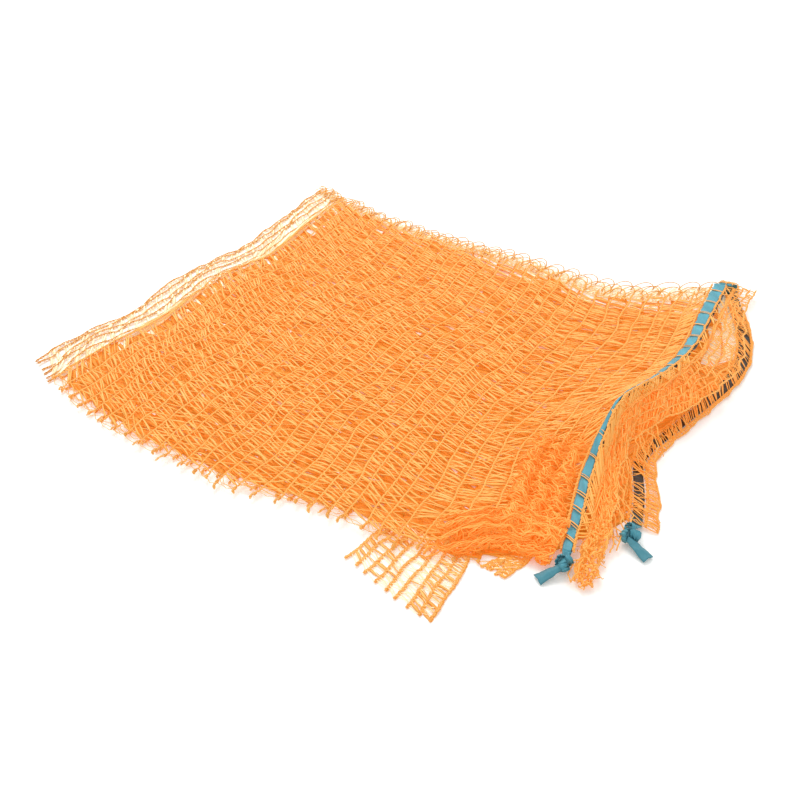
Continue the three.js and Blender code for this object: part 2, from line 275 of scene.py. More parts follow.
def gathers(piece):
    """Bakes a piece's placement into its mesh, and hands it back."""
    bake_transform(piece)
    return piece


# ---- Film yarn ----
# All the knit is one yarn: a narrow strip of orange polyethylene film, folded on itself as it is knitted. It
# is drawn as a flat ribbon with a ridge on each face. Each yarn has a tone from 0, deep, to 1, pale.
random = np.random.default_rng(20)


def waver(at, length, phase):
    """A smooth irregular wave between about -1 and 1. Length is its usual spacing."""
    turn = 2 * np.pi * at / length + phase
    shorter = 0.6 * np.sin(1.7 * turn + 1.3 * phase)
    shortest = 0.4 * np.sin(2.9 * turn + 4.1 * phase)
    return (np.sin(turn) + shorter + shortest) / 2


def sway(size, at, length, phase):
    """The same wave in millimetres: how far it goes and its spacing."""
    return size * mm * waver(at, length * mm, phase)


def length_of(line):
    return np.linalg.norm(np.diff(line, axis=-2), axis=-1).sum(-1)


def unit(vectors, least=1e-9):
    return vectors / (np.linalg.norm(vectors, axis=-1, keepdims=True) + least)


def ribbon(paths, width, thickness, tone, roll=0.0, face=None):
    """Film along paths (yarns, points, 3). Face is the way its flat side looks, up if not given."""
    yarns, count, _ = paths.shape
    along = unit(np.gradient(paths, axis=1))
    across = unit(np.cross(along, (0.0, 0.0, 1.0) if face is None else face))
    above = np.cross(across, along)
    shape = (yarns, count, 1)
    turn = np.broadcast_to(np.asarray(roll, float).reshape(-1, 1, 1) if np.ndim(roll) == 1 else roll, shape)
    side = across * np.cos(turn) + above * np.sin(turn)
    ridge = above * np.cos(turn) - across * np.sin(turn)
    half_width, half_thick, tones = (
        np.broadcast_to(value[..., None] if np.ndim(value) == 2
                        else np.reshape(value, (-1, 1, 1)), shape)
        for value in (np.asarray(width) / 2, np.asarray(thickness) / 2, np.asarray(tone))
    )
    ring = [side * half_width, ridge * half_thick, -side * half_width, -ridge * half_thick]
    points = paths[:, :, None] + np.stack(ring, axis=2)
    start = (np.arange(yarns)[:, None] * count + np.arange(count - 1))[..., None] * 4
    k = np.arange(4)
    after = (k + 1) % 4
    sides = stacked(start + k, start + 4 + k, start + 4 + after, start + after).reshape(-1, 4)
    first = np.arange(yarns)[:, None] * count * 4
    caps = np.concatenate([first + k, first + (count - 1) * 4 + k[::-1]])
    spread = np.broadcast_to(np.linspace(0, 1, count)[None, :, None], (yarns, count, 4))
    marks = stacked(np.clip(tones, 0.01, 0.97) + 0.006 * k, spread)
    return points.reshape(-1, 3), np.concatenate([sides, caps]), marks.reshape(-1, 2)


def piece_of(name, finish, replaced, ribbons, least_height=0.02 * mm):
    """One piece of the bag from several lots of ribbon, none of it in the table."""
    offsets = np.cumsum([0] + [len(part[0]) for part in ribbons])
    points = np.concatenate([part[0] for part in ribbons])
    faces = np.concatenate([part[1] + offset for part, offset in zip(ribbons, offsets)])
    marks = np.concatenate([part[2] for part in ribbons])
    points[:, 2] = np.maximum(points[:, 2], least_height)
    mesh = bpy.data.meshes.new(name)
    mesh.vertices.add(len(points))
    mesh.vertices.foreach_set("co", points.ravel())
    mesh.loops.add(faces.size)
    mesh.loops.foreach_set("vertex_index", faces.ravel().astype(np.int32))
    mesh.polygons.add(len(faces))
    mesh.polygons.foreach_set("loop_start", np.arange(0, faces.size, 4, dtype=np.int32))
    mesh.update(calc_edges=True)
    mesh.polygons.foreach_set("use_smooth", np.ones(len(faces), bool))
    for layer in ("yarn", "OFBake"):
        mesh.uv_layers.new(name=layer).data.foreach_set("uv", marks[faces.ravel()].ravel())
    mesh.materials.append(finish)
    piece = placed(name, mesh)
    if replaced:
        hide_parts(*replaced)
    return piece


def film_group():
    """Colour, roughness and height of drawn film: a tone for each yarn, with streaks along it."""
    group = bpy.data.node_groups.new("drawn film", "ShaderNodeTree")
    for name, kind in (("Deep", "Color"), ("Pale", "Color"), ("Streaks", "Float")):
        group.interface.new_socket(name, in_out="INPUT", socket_type="NodeSocket" + kind)
    for name, kind in (("Color", "Color"), ("Roughness", "Float"), ("Height", "Float")):
        group.interface.new_socket(name, in_out="OUTPUT", socket_type="NodeSocket" + kind)
    nodes, links = group.nodes, group.links
    given, result = nodes.new("NodeGroupInput"), nodes.new("NodeGroupOutput")
    place = nodes.new("ShaderNodeUVMap")
    place.uv_map = "yarn"
    split = nodes.new("ShaderNodeSeparateXYZ")
    links.new(place.outputs[0], split.inputs[0])
    stretch = nodes.new("ShaderNodeVectorMath")
    stretch.operation = "MULTIPLY"
    stretch.inputs[1].default_value = (90, 160, 0)  # other streaks for each tone, fine ones along it
    links.new(place.outputs[0], stretch.inputs[0])
    streaks = nodes.new("ShaderNodeTexNoise")
    streaks.noise_dimensions = "2D"
    streaks.inputs["Scale"].default_value = 1
    links.new(stretch.outputs[0], streaks.inputs["Vector"])
    centred = maths(group, "SUBTRACT", streaks.outputs["Fac"], 0.5)
    tone = maths(group, "MULTIPLY_ADD", centred, given.outputs["Streaks"], split.outputs["X"])
    tone.node.use_clamp = True
    colour = nodes.new("ShaderNodeMix")
    colour.data_type = "RGBA"
    links.new(tone, colour.inputs["Factor"])
    links.new(given.outputs["Deep"], colour.inputs["A"])
    links.new(given.outputs["Pale"], colour.inputs["B"])
    rough = nodes.new("ShaderNodeMapRange")
    rough.inputs["To Min"].default_value = 0.34
    rough.inputs["To Max"].default_value = 0.6
    links.new(streaks.outputs["Fac"], rough.inputs["Value"])
    links.new(colour.outputs["Result"], result.inputs["Color"])
    links.new(rough.outputs[0], result.inputs["Roughness"])
    links.new(streaks.outputs["Fac"], result.inputs["Height"])
    return group


drawn_film = film_group()


def film(name, deep, pale, glow=(0, 0, 0), painted_glow_strength=0.0, streaks=0.35, creases=0.15):
    """A film material between two colours. Its glow is painted light: emission in place of the light that
    comes through thin film.
    """
    material = bpy.data.materials.new(name)
    material.use_nodes = True
    nodes, links = material.node_tree.nodes, material.node_tree.links
    shader = nodes["Principled BSDF"]
    shader.inputs["Specular IOR Level"].default_value = 0.35
    shader.inputs["Emission Color"].default_value = (*glow, 1)
    shader.inputs["Emission Strength"].default_value = painted_glow_strength
    look = nodes.new("ShaderNodeGroup")
    look.node_tree = drawn_film
    look.inputs["Deep"].default_value = (*deep, 1)
    look.inputs["Pale"].default_value = (*pale, 1)
    look.inputs["Streaks"].default_value = streaks
    bump = nodes.new("ShaderNodeBump")
    bump.inputs["Strength"].default_value = creases
    bump.inputs["Distance"].default_value = 0.2 * mm
    links.new(look.outputs["Color"], shader.inputs["Base Color"])
    links.new(look.outputs["Roughness"], shader.inputs["Roughness"])
    links.new(look.outputs["Height"], bump.inputs["Height"])
    links.new(bump.outputs[0], shader.inputs["Normal"])
    return material


# Each film's glow is painted light, standing in for light that passes through the film into its shadows.
front_film = film("front layer film yarn", deep=(0.82, 0.33, 0.05), pale=(0.88, 0.49, 0.15),
                  glow=(0.66, 0.23, 0.018), painted_glow_strength=0.4)
# Where its wide pale yarns fill gaps in the knit, they are painted light: the warm light that comes through
# the orange film onto the table.
thin_film = film("thin film yarn", deep=(0.85, 0.42, 0.1), pale=(1.0, 0.93, 0.66),
                 glow=(1.0, 0.83, 0.5), painted_glow_strength=0.28)

# ---- Wales: the chains of loops that run across the bag ----
# A wale is one yarn knitted into a chain of loops, each through the last. They are about 10 mm apart, wander
# with the cloth, and are what the laid-in yarns hang on.
wale_pitch = 10 * mm
steps = 140  # points along a wale


def lay_wales(shares, inner, outer, near, far):
    """Places of wales, each a share of the way between two edges. inner and outer take y, near and far x."""
    shares = np.asarray(shares)[:, None]
    up = np.linspace(0, 1, steps)[None, :]
    y = low[1] + (high[1] - low[1]) * np.broadcast_to(up, (len(shares), steps))
    for _ in range(6):
        x = inner(y) * (1 - shares) + outer(y) * shares
        y = near(x) * (1 - up) + far(x) * up
    return x, y


def uneven(count, spread=0.28):
    """Shares from 0 to nearly 1 for a number of wales, at uneven distances."""
    gaps = 1 + spread * random.uniform(-1, 1, count)
    places = np.cumsum(gaps) - gaps[0]
    return places / (places[-1] + gaps[-1])


def wander(x, y, size, seed):
    """How far the cloth has shifted wales along the bag at each place."""
    shared = waver(y + 0.3 * x, 85 * mm, seed + x / (38 * mm))
    own = waver(y, 31 * mm, seed + 2.4 * np.arange(len(x))[:, None])
    return size * (shared + 0.35 * own)


def at_share(wales, index, share):
    """Places on wales, each a share of the way along one of them."""
    last = wales.shape[1] - 1
    at = np.clip(share, 0, 1) * last
    before = np.minimum(at.astype(int), last - 1)
    part = (at - before)[:, None]
    return wales[index, before] * (1 - part) + wales[index, before + 1] * part


def chain(wales, width, yarn, tone, spread=0.0, points=8, pitch=2.9, rise=0.25, cut_end=0.35, core=1.1):
    """The loops of each wale, as one yarn that runs back and forth along it, over a straight core. The widths
    of chain and yarn, the loops' pitch and their rise are in mm. The core is a share of the yarn."""
    width, yarn, pitch, rise = width * mm, yarn * mm, pitch * mm, rise * mm
    if spread:
        tone = random.normal(tone, spread, len(wales))
    length = length_of(wales).mean()
    loops = max(2, int(length / pitch))
    turn = np.linspace(0, loops, loops * points + 1)
    back = 0.3 * np.sin(4 * np.pi * turn) / loops
    index = np.repeat(np.arange(len(wales)), len(turn))
    shape = (len(wales), -1, 3)
    flow = np.gradient(at_share(wales, index, np.tile(turn / loops, len(wales))).reshape(shape), axis=1)
    across = unit(np.cross(flow, (0, 0, 1.0)))
    line = at_share(wales, index, np.tile(turn / loops - back, len(wales))).reshape(shape)
    line = line + across * np.sin(2 * np.pi * turn)[None, :, None] * (width - yarn) / 2
    line[..., 2] += rise * np.cos(4 * np.pi * turn)
    tones = np.reshape(tone, (-1, 1)) - cut_end * np.exp(-turn / loops * length / (4 * mm))
    middles = wales[:, ::2]
    middle_tones = np.broadcast_to(np.reshape(tone, (-1, 1)), middles.shape[:2])
    return [ribbon(line, yarn, yarn * 0.8, np.broadcast_to(tones, line.shape[:2])),
            ribbon(middles, core * yarn, 0.7 * yarn, middle_tones)]


def laid_in(wales, pitch, slant, width, tone, start=0.0, end=1.0, bulge=0.3, seed=0.0, keep=None, thick=0.28,
            leaf=0.6):
    """Yarns laid in between each wale and the next one, slanting to the near side as they go. Each is held
    tight at its wales and spreads by its leaf share in between. The pitch, the range of widths, the bulge and
    the thickness are in mm. Keep takes x and y and gives the share of yarns that are there."""
    pitch, width, bulge, thick = pitch * mm, np.array(width) * mm, bulge * mm, thick * mm
    paths, widths, tones = [], [], []
    for i in range(len(wales) - 1):
        length = length_of(wales[i])
        gap = np.linalg.norm(wales[i + 1] - wales[i], axis=1).mean()
        count = int(length * (end - start) / pitch)
        jitter = random.uniform(-0.36, 0.36, count)
        share = start + (end - start) * (np.arange(count) + 0.5 + jitter) / count
        lean = slant + 0.2 * waver(share * length, 47 * mm, seed + 1.9 * i) + 0.1 * random.normal(size=count)
        other = share - lean * gap / length
        good = (other > start - 0.01) & (other < end + 0.01)
        here = at_share(wales, i, share)
        if keep is not None:
            good &= random.uniform(size=count) < keep(here[:, 0], here[:, 1])
        patch = 0.13 * waver(here[:, 1] + 0.4 * here[:, 0], 46 * mm, seed + here[:, 0] / (37 * mm))
        share, other, patch = share[good], other[good], patch[good]
        begin = at_share(wales, i, share)
        finish = at_share(wales, i + 1, other)
        part = np.linspace(0, 1, 5)[None, :, None]
        path = begin[:, None] * (1 - part) + finish[:, None] * part
        hump = np.sin(np.pi * part[..., 0])
        path[..., 2] += hump * bulge * random.uniform(-0.6, 1.4, (len(share), 1))
        path[..., 1] += hump * random.normal(0, 0.4 * mm, (len(share), 1))
        paths.append(path)
        widths.append(random.uniform(*width, len(share))[:, None] * (1 - leaf + leaf * hump))
        tones.append(random.normal(tone, 0.15, len(share)) + patch)
    paths = np.concatenate(paths)
    roll = random.uniform(-0.5, 0.5, len(paths))
    return ribbon(paths, np.concatenate(widths), thick, np.concatenate(tones), roll)


def loose(begin, finish, bow, width, tone, curl=0.6):
    """Thin free yarns from each place in begin to the one in finish, bowed by a vector on the way. Width
    and curl are in mm."""
    width, curl = width * mm, curl * mm
    part = np.linspace(0, 1, 9)[None, :, None]
    paths = begin[:, None] * (1 - part) + finish[:, None] * part + 4 * part * (1 - part) * bow[:, None]
    phase = random.uniform(0, 6, (len(begin), 1))
    for axis in range(3):
        paths[..., axis] += curl * waver(part[..., 0], 0.6, phase + axis) * np.sin(np.pi * part[..., 0])
    tones = random.normal(tone, 0.12, len(begin))
    return ribbon(paths, width, 0.7 * width, tones)


# ---- Back panel ----
# The bag's back layer lies flat on the table. It is the same knit as the front, seen only through it, and its
# film lies wider open, so little of the table shows. Its film is deeper than the front's: painted shade from
# the front layer over it.
back_film = film("back layer film yarn", deep=(0.74, 0.245, 0.024), pale=(0.82, 0.37, 0.06),
                 glow=(0.7, 0.2, 0.012), painted_glow_strength=0.44)
back_height = 0.55 * mm
tip = 6.5 * mm  # how far cut wales stick out past the last course
open_row = 9 * mm  # from one row of holes along the seam to the next
open_by_seam, open_by_selvedge = 40 * mm, 22 * mm  # width of the strips that have the holes
back_sides = [evened(row_line("back_tunnel_wale_" + side, middle), steps)
              for side in ("bag_side", "mouth_side")]


def back_outer_x(y):
    return np.interp(y, back_sides[0][:, 1], back_sides[0][:, 0])


def seam_depth(x):
    """Width of the looped band along the far side, wider towards the mouth."""
    towards_mouth = np.clip((x - low[0]) / (high[0] - low[0]), 0, 1)
    return (5.5 + 17 * towards_mouth ** 2 + 2 * waver(x, 58 * mm, 0.5) * towards_mouth) * mm


def far_of_panels(x):
    return far_y(x) - seam_depth(x)


def openness(x, y):
    """Share of laid-in yarns that are there. Holes lie in rows by the seams and where cloth hangs free."""
    from_seam = far_of_panels(x) - y
    towards_mouth = np.clip((x - low[0]) / (high[0] - low[0]), 0.4, 1)
    loosened = 1.7 * towards_mouth * np.clip(1 - from_seam / open_by_seam, 0, 1)
    past_ruck = (x > crease_x(y)) & (y > 0.4 * high[1])
    loosened = np.where(past_ruck, np.maximum(loosened, 2.1), loosened)
    loosened = np.maximum(loosened, 0.75 - (x - panel_start_x(y)) / open_by_selvedge)
    rows = np.sin(2 * np.pi * (from_seam / open_row + 0.25 * waver(x, 44 * mm, 2.0)))
    return np.clip(2.2 * (1 - loosened) + 1.4 * (0.3 - rows) * np.minimum(loosened, 1), 0, 1)


tip_share = tip / (high[1] - low[1])
back_wale_count = int((high[0] - low[0] - 55 * mm) / wale_pitch)
x, y = lay_wales(uneven(back_wale_count), panel_start_x, back_outer_x, back_near_y, far_of_panels)
x += wander(x, y, 1.2 * mm, 0.7)
back_wales = stacked(x, y, back_height + sway(0.25, x + y, 40, 1.0))
back_rows = np.concatenate([back_wales, back_sides[0][None] * (1, 1, 0) + (0, 0, back_height)])
back_panel_wales = gathers(piece_of("back_panel_wales", back_film, ["back_wale_tips"],
                                    chain(back_wales, 1.5, 0.55, 0.5, spread=0.1, points=6)))
back_panel_yarns = gathers(piece_of("back_panel_yarns", back_film, ["back_panel"], [
    laid_in(back_rows, 2.2, 0.3, (2.3, 3.7), 0.45, start=tip_share, seed=2.0, keep=openness, leaf=0.3),
]))
back_cross_yarns = gathers(piece_of("back_cross_yarns", back_film, [], [
    laid_in(back_rows, 3, -0.1, (2.8, 4.2), 0.3, start=tip_share, end=0.93, seed=3.0, keep=openness,
            leaf=0.2, bulge=0.1),
]))
# The wide pale yarns in the open gaps are painted light, the warm light through the film on the table; the
# narrow deep ones are thin threads.
back_gap_yarns_and_painted_light = gathers(piece_of("back_gap_yarns_and_painted_light", thin_film, [], [
    laid_in(back_rows, 2.8, 0.2, (1.6, 3.0), 0.95, start=0.7, seed=6.0, bulge=0.1, thick=0.15,
            keep=lambda x, y: 0.8 - openness(x, y)),
    laid_in(back_rows[:3], 2.6, 0.2, (1.6, 3.0), 0.9, start=tip_share, end=0.7, seed=7.0, bulge=0.1,
            thick=0.15, keep=lambda x, y: 1.0 - openness(x, y)),
    laid_in(back_rows[-7:], 2.2, 0.3, (0.3, 0.6), 0.1, start=0.6, seed=9.0, thick=0.2, leaf=0,
            keep=lambda x, y: 0.9 - openness(x, y)),
]))

# ---- Bottom selvedge ----
# Along the bottom the two layers are knitted together in a band of close wales. It has hardly any laid-in
# film, only thin yarns that zigzag between the chains, so the table shows through it.
selvedge_film = film("selvedge film yarn", deep=(0.58, 0.23, 0.02), pale=(0.98, 0.56, 0.17),
                     glow=(0.75, 0.25, 0.02), painted_glow_strength=0.25, streaks=0.9)
selvedge_near = outline("bottom_selvedge", along=0, side=-1, step=9 * mm)
selvedge_far = outline("bottom_selvedge", along=0, side=1, step=9 * mm)
selvedge_shares = [0.02, 0.13, 0.34, 0.5, 0.74, 0.92]
each = np.arange(len(selvedge_shares))[:, None]
x, y = lay_wales(selvedge_shares, bottom_x, panel_start_x, lambda x: selvedge_near(x) - 0.5 * tip,
                 selvedge_far)
x += sway(1.7, y, 95, 1.3 * each) + sway(0.8, y, 23, each)
selvedge_wales = stacked(x, y, 1.2 * mm + sway(0.9, x * 3 + y, 60, 2.0))
gathers(piece_of("bottom_selvedge_knit", selvedge_film, ["bottom_selvedge"], [
    *chain(selvedge_wales, 2.1, 0.6, 0.36, spread=0.08, pitch=3.6, rise=0.35, core=1.6),
]))
gathers(piece_of("bottom_selvedge_yarns", thin_film, [], [
    laid_in(selvedge_wales, 3.2, 0.4, (0.3, 0.5), 0.6, start=tip_share, thick=0.2, leaf=0),
    laid_in(selvedge_wales, 5, -0.5, (0.3, 0.5), 0.6, start=tip_share, thick=0.2, leaf=0),
    # Wide pale yarns in the gaps: painted light, the warm light through the film on the table.
    laid_in(selvedge_wales, 8, 0.6, (1.0, 2.4), 0.97, start=tip_share, thick=0.15),
    laid_in(np.stack([selvedge_wales[-1], back_wales[0]]), 2.2, 0.3, (1.0, 2.2), 0.35, start=tip_share,
            thick=0.15),
    laid_in(selvedge_wales[4:], 6, 0.3, (0.5, 1.2), 0.05, start=tip_share),
]))

# ---- Front panel ----
# The front layer lies on the back one and stands up in a ruck along the drawstring.
front_skin = 0.5 * mm  # middle of the yarn below the frame's surface
crest_line = evened(crease, steps)
bag_side = evened(row_line("front_tunnel_wale_bag_side", middle), steps)
tunnel_bag_side = crest_line + (bag_side - crest_line) * lit_share(crest_line[:, 1])[:, None]
tunnel_mouth_side = evened(row_line("front_tunnel_wale_mouth_side", middle), steps)


def tunnel_x(y):
    return np.interp(y, tunnel_bag_side[:, 1], tunnel_bag_side[:, 0])


shares = uneven(31)
shares = shares + 0.12 * shares * (1 - shares)
x, y = lay_wales(shares, panel_start_x, tunnel_x, front_near_y, far_of_panels)
x += wander(x, y, 1.6 * mm, 4.2) * np.clip((tunnel_x(y) - x) / (20 * mm), 0, 1)
front_wales = stacked(x, y, front_z(x, y) - front_skin)
front_rows = np.concatenate([selvedge_wales[-1:], front_wales, tunnel_bag_side[None]])
front_panel_wales = gathers(piece_of("front_panel_wales", front_film, ["front_wale_tips"],
                                     chain(front_wales, 1.4, 0.55, 0.85, spread=0.08, points=6)))


def front_keep(x, y):
    """The front layer is thinner along its cut side and beside the tape, and in some patches."""
    patches = 0.86 + 0.28 * waver(0.7 * x + y, 52 * mm, 1.0 + x / (45 * mm))
    cut_side = np.clip(0.65 + (y - front_near_y(x)) / (40 * mm), 0, 1)
    beside_tape = np.where((tunnel_x(y) - x < 30 * mm) & (y < -55 * mm), 0.6, 1)
    return openness(x, y) * patches * cut_side * beside_tape


front_panel_yarns = gathers(piece_of("front_panel_yarns", front_film, ["front_panel"], [
    laid_in(front_rows, 2.35, 0.36, (0.8, 1.75), 0.66, start=tip_share, seed=5.0, keep=front_keep),
]))
front_cross_yarns = gathers(piece_of("front_cross_yarns", front_film, [], [
    laid_in(front_rows, 3.8, -0.35, (0.4, 1.2), 0.64, start=tip_share, seed=8.0, keep=front_keep),
]))

# ---- Side seam ----
# Looping threads join the layers along the far side. Their outer bends make a row of scallops, and more rows
# of them make a lace over the open knit beside it.
seam_film = film("seam film yarn", deep=(0.5, 0.2, 0.014), pale=(0.95, 0.52, 0.15),
                 glow=(0.8, 0.28, 0.02), painted_glow_strength=0.2, streaks=0.7)
seam_rows_of_loops = 5
seam_yarn_width, seam_yarn_thick = 0.68 * mm, 0.55 * mm
seam_height, seam_gap_height = 3.4 * mm, 1.6 * mm  # of the loops, and of the yarns laid in below them
run_x = np.arange(low[0] + 2 * mm, crease[-1][0] - 4 * mm, 0.7 * mm)
seam_edge = np.where(run_x < panel_start_x(high[1]) + 2 * mm, selvedge_far(run_x) - mm, far_y(run_x))
seam_edge = np.convolve(np.pad(seam_edge, 10, mode="edge"), np.ones(21) / 21, mode="valid")
loops = []
for row in range(seam_rows_of_loops):
    loop = (12.5 + 1.2 * np.sin(2.1 * row)) * mm
    reach = (4.6 + 0.8 * waver(run_x, 41 * mm, 1.7 * row)) * mm
    turn = 2 * np.pi * run_x / loop + 2.6 * row + 0.8 * waver(run_x, 73 * mm, 1.3 * row)
    x = run_x + 2.8 * mm * np.sin(turn)
    inward = (row + 1) // 2 / 2 * (seam_depth(run_x) - 2 * mm)
    y = seam_edge + 1.2 * mm - inward + (np.cos(turn) - 1) * reach
    z = seam_height + 1.2 * mm * np.sin(turn + 0.8) + sway(0.8, run_x, 47, 0.6)
    loops.append(stacked(x, y, z))
gathers(piece_of("side_seam_loops", seam_film, ["side_seam"], [
    ribbon(np.array(loops), seam_yarn_width, seam_yarn_thick, np.array([0.2, 0.45, 0.55, 0.6, 0.65])),
]))
depths = np.array([0.1, 0.4, 0.7, 1.0, 1.4])[:, None]
seam_rows = stacked(*np.broadcast_arrays(run_x, seam_edge - depths * seam_depth(run_x), seam_gap_height))
gathers(piece_of("side_seam_yarns", thin_film, [], [
    # Wide pale yarns under the lace: painted light, the warm light through the film on the table.
    laid_in(seam_rows, 3, 0.7, (1.0, 2.4), 0.97, bulge=0.4, thick=0.15),
    laid_in(seam_rows[2:], 2.4, -0.6, (0.8, 1.8), 0.15, bulge=0.5, thick=0.2),
]))

# ---- Cut tips ----
# The near side is cut. Each wale ends in a short curled stub, and strays of laid-in yarn hang between them.
strays_between = 3
for name, wales, slot in (("front", front_wales, "front_knit"), ("back", back_wales, "back_knit")):
    count = len(wales)
    stub = np.linspace(0, 1, 16)[None, :]
    turn = random.uniform(-0.7, 0.7, (count, 1))
    root = at_share(wales, np.arange(count), np.full(count, 0.35 * tip_share))
    away = unit(wales[:, 0] - root, 0)
    reach = random.uniform(2 * mm, tip, (count, 1))
    curls = root[:, None] + away[:, None] * (reach * (1.2 * stub - 0.2 * stub ** 3))[..., None]
    curls[..., 0] += turn * reach * 0.5 * stub ** 2
    curls[..., 2] += 0.5 * mm + 0.8 * mm * np.sin(np.pi * stub)
    ends = chain(curls, 1.8, 0.6, 0.8, spread=0.12, pitch=2)
    for _ in range(strays_between):
        share = random.uniform(0, tip_share * 1.4, count - 1)
        begin = at_share(wales, np.arange(count - 1), share)
        finish_at = at_share(wales, np.arange(1, count), random.uniform(0, tip_share * 1.4, count - 1))
        bow = stacked(random.normal(0, 2 * mm, count - 1), random.uniform(-3.5 * mm, 0.5 * mm, count - 1),
                      random.uniform(-0.3 * mm, 1.2 * mm, count - 1))
        ends.append(loose(begin, finish_at, bow, 0.35, 0.7))
    gathers(piece_of(name + "_tip_ends", selvedge_film, [], ends))

# ---- Crumpled near mouth corner ----
# Where the drawstring is pulled, the front layer's cut edge and the strip beside the tape are pushed up into
# small folds. The film lies in many thicknesses there and its colour is deeper, partly from that and partly
# as painted shade in the folds' hollows; the ridges carry painted highlights.
crumpled_film = film("crumpled film yarn", deep=(0.8, 0.2, 0.012), pale=(0.88, 0.45, 0.11),
                     glow=(0.82, 0.2, 0.012), painted_glow_strength=0.42)
corner_strewn, side_strewn = 430, 620  # yarns that lie over the folds
crumple_start, crumple_length = 92 * mm, 74 * mm  # along the cut edge in X, and along the tape
edge_x = np.linspace(crumple_start, crease[0][0] - 6 * mm, 60)
towards_tape = (edge_x - edge_x[0]) / np.ptp(edge_x)
folds = []
for k in range(-2, 6):
    y = front_near_y(edge_x) + (1 + 3.4 * k) * mm - 5 * mm * towards_tape
    y = y + sway(2, edge_x, 27, 1.1 * k)
    z = front_z(edge_x, y) * (1 if k > -1 else 0.5) + (0.3 + 1.8 * (k % 2)) * mm
    z = z + sway(1, edge_x, 17, 2.3 * k)
    folds.append(stacked(edge_x, y, z))
folds = np.array(folds)


def starting(x, y):
    return np.clip((x - edge_x[0]) / (22 * mm), 0, 0.95)


def strewn(folds, at, heading, tone):
    """Short wavy yarns that lie over the folds, each about a place at a share of their length. Heading is the
    angle from the folds. They are paler on the ridges, which are every other fold, and deeper between them:
    painted highlights and painted shade."""
    count = len(at)
    part = np.linspace(-0.5, 0.5, 9)[None, :]
    length = random.uniform(4 * mm, 12 * mm, (count, 1))
    way = random.normal(heading, 0.5, (count, 1))
    fold_length = np.linalg.norm(folds[0, -1] - folds[0, 0])
    pitch = np.linalg.norm(folds[1, 0, :2] - folds[0, 0, :2])
    bend = 0.6 * mm * waver(part, 0.8, random.uniform(0, 6, (count, 1)))
    share = at[:, None] + (length * part * np.cos(way) - bend * np.sin(way)) / fold_length
    row = random.uniform(0, len(folds) - 1, (count, 1))
    row = np.clip(row + (length * part * np.sin(way) + bend * np.cos(way)) / pitch, 0, len(folds) - 1.001)
    below = at_share(folds, row.astype(int).ravel(), share.ravel())
    above = at_share(folds, row.astype(int).ravel() + 1, share.ravel())
    mix = (row % 1).reshape(-1, 1)
    paths = (below * (1 - mix) + above * mix).reshape(count, -1, 3)
    paths[..., 2] += random.uniform(0.4 * mm, 1.4 * mm, (count, 1)) * (1.2 - 3 * part ** 2)
    tones = random.normal(tone, 0.12, (count, 1)) - 0.25 * np.cos(np.pi * row)
    widths = random.uniform(0.4 * mm, 1.0 * mm, count)
    return ribbon(paths, widths, 0.35 * mm, tones, random.uniform(-0.5, 0.5, count))


gathers(piece_of("front_corner_folds", crumpled_film, [], [
    laid_in(folds, 2.6, 0.2, (1.8, 3.0), 0.1, bulge=0.3, keep=starting),
    laid_in(folds, 2.4, 0.9, (0.5, 1.3), 0.4, bulge=0.7, keep=starting),
    strewn(folds, random.uniform(0, 1, corner_strewn) ** 0.7, 0.1, 0.6),
    # Pale ribbons along the ridges: painted highlight.
    ribbon(folds[1::2] + (0, 0, 0.5 * mm), 0.8 * mm, 0.5 * mm, 0.85),
]))
edge_y = np.linspace(crease[0][1] - 2 * mm, crease[0][1] + crumple_length, 60)
folds = []
for k in range(7):
    x = tunnel_x(edge_y) - (2.5 + 4.6 * k) * mm + sway(2, edge_y, 21, 1.3 * k)
    z = front_z(x, edge_y) + (0.2 + 1.5 * (k % 2)) * mm + sway(0.9, edge_y, 15, 2.1 * k)
    folds.append(stacked(x, edge_y, z))
folds = np.array(folds)


def fading(x, y):
    from_cut = np.clip((y - front_near_y(x)) / (6 * mm), 0, 1)
    return np.clip(1.25 * (edge_y[-1] - y) / np.ptp(edge_y), 0, 0.95) * from_cut


gathers(piece_of("front_tape_side_folds", crumpled_film, [], [
    laid_in(folds, 3, 0.2, (1.8, 3.0), 0.1, bulge=0.3, keep=fading),
    laid_in(folds, 2.4, 0.9, (0.5, 1.2), 0.45, bulge=0.8, keep=fading),
    strewn(folds, 0.06 + 0.85 * random.uniform(0, 1, side_strewn) ** 1.5, 1.3, 0.58),
]))

